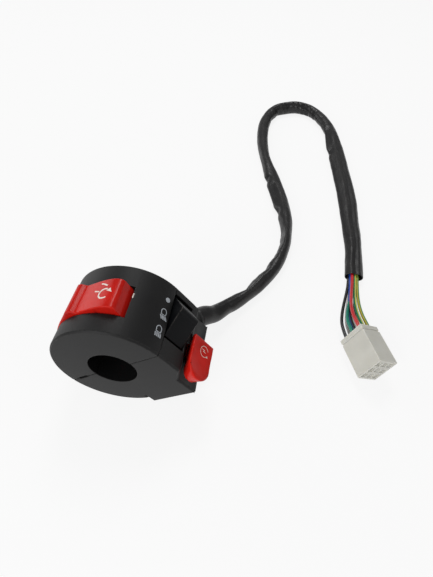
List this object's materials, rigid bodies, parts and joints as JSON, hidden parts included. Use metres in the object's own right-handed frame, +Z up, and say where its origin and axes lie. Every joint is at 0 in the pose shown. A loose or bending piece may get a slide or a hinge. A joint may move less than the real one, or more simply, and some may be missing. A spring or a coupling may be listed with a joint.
{
  "type": "handlebar switch cluster",
  "caption": "Split-clamp handlebar switch cluster with a red kill rocker, a light rocker, a red start button and a sleeved wiring harness with connector.",
  "frame": {"origin": "centre of the handlebar bore, midway along the body", "axes": "+Y along the handlebar from the switch's front face to its back, +Z up from the table it lies on"},
  "size_m": [0.1564, 0.3132, 0.0601],
  "materials": {
    "black_plastic": "fine moulded grain",
    "black_knob": "satin",
    "red_plastic": "gloss",
    "zinc_steel": "zinc plated",
    "bright_steel": "bright",
    "spring_steel": "drawn wire",
    "contact_brass": "plain",
    "board_phenolic": "satin",
    "boot_rubber": "matt",
    "sheath_vinyl": "soft sheen",
    "lead_white": "satin",
    "lead_yellow": "satin",
    "lead_red": "satin",
    "vinyl_black": "satin",
    "vinyl_white": "satin",
    "vinyl_grey": "satin",
    "vinyl_blue": "satin",
    "vinyl_teal": "satin",
    "vinyl_red": "satin",
    "vinyl_brown": "satin",
    "vinyl_green": "satin",
    "vinyl_yellow": "satin",
    "nylon_ivory": "translucent satin"
  },
  "bodies": {
    "housing": {"upper_housing": "black_plastic", "lower_housing": "black_plastic", "clamp_screws": "zinc_steel", "kill_pivot_pin": "bright_steel", "kill_contact_board": "board_phenolic", "kill_contacts": "contact_brass", "kill_leads": "lead_white", "light_pivot_pin": "bright_steel", "light_contact_board": "board_phenolic", "light_contacts": "contact_brass", "light_leads": "lead_yellow", "start_return_spring": "spring_steel", "start_contact_board": "board_phenolic", "start_contacts": "contact_brass", "start_leads": "lead_red", "cable_boot": "boot_rubber", "harness_sheath": "sheath_vinyl", "wire_black": "vinyl_black", "wire_white": "vinyl_white", "wire_grey": "vinyl_grey", "wire_blue": "vinyl_blue", "wire_teal": "vinyl_teal", "wire_red": "vinyl_red", "wire_brown": "vinyl_brown", "wire_green": "vinyl_green", "wire_yellow": "vinyl_yellow", "connector_housing": "nylon_ivory", "connector_terminals": "contact_brass"},
    "kill_rocker": {"kill_rocker": "red_plastic", "kill_contact_ball": "bright_steel", "kill_contact_spring": "spring_steel"},
    "light_rocker": {"light_rocker": "black_knob", "light_contact_ball": "bright_steel", "light_contact_spring": "spring_steel"},
    "start_button": {"start_button": "red_plastic", "start_contact_bridge": "contact_brass", "start_retaining_clip": "spring_steel"}
  },
  "joints": [
    {"name": "kill_tip", "type": "hinge", "parent": "housing", "child": "kill_rocker", "pos_m": [-0.00961, -0.00105, 0.01439], "axis": [0, 1, 0], "range_deg": [0, 9]},
    {"name": "light_turn", "type": "hinge", "parent": "housing", "child": "light_rocker", "pos_m": [0.02055, 0.00285, 0.00615], "axis": [0.5554, 0, -0.8316], "range_deg": [0, 20]},
    {"name": "start_push", "type": "slide", "parent": "housing", "child": "start_button", "axis": [-0.8316, 0, -0.5554], "range_m": [0, 0.0015], "stiffness_N_per_m": 600, "springref_m": -0.002, "deforming": ["start_return_spring"]}
  ]
}
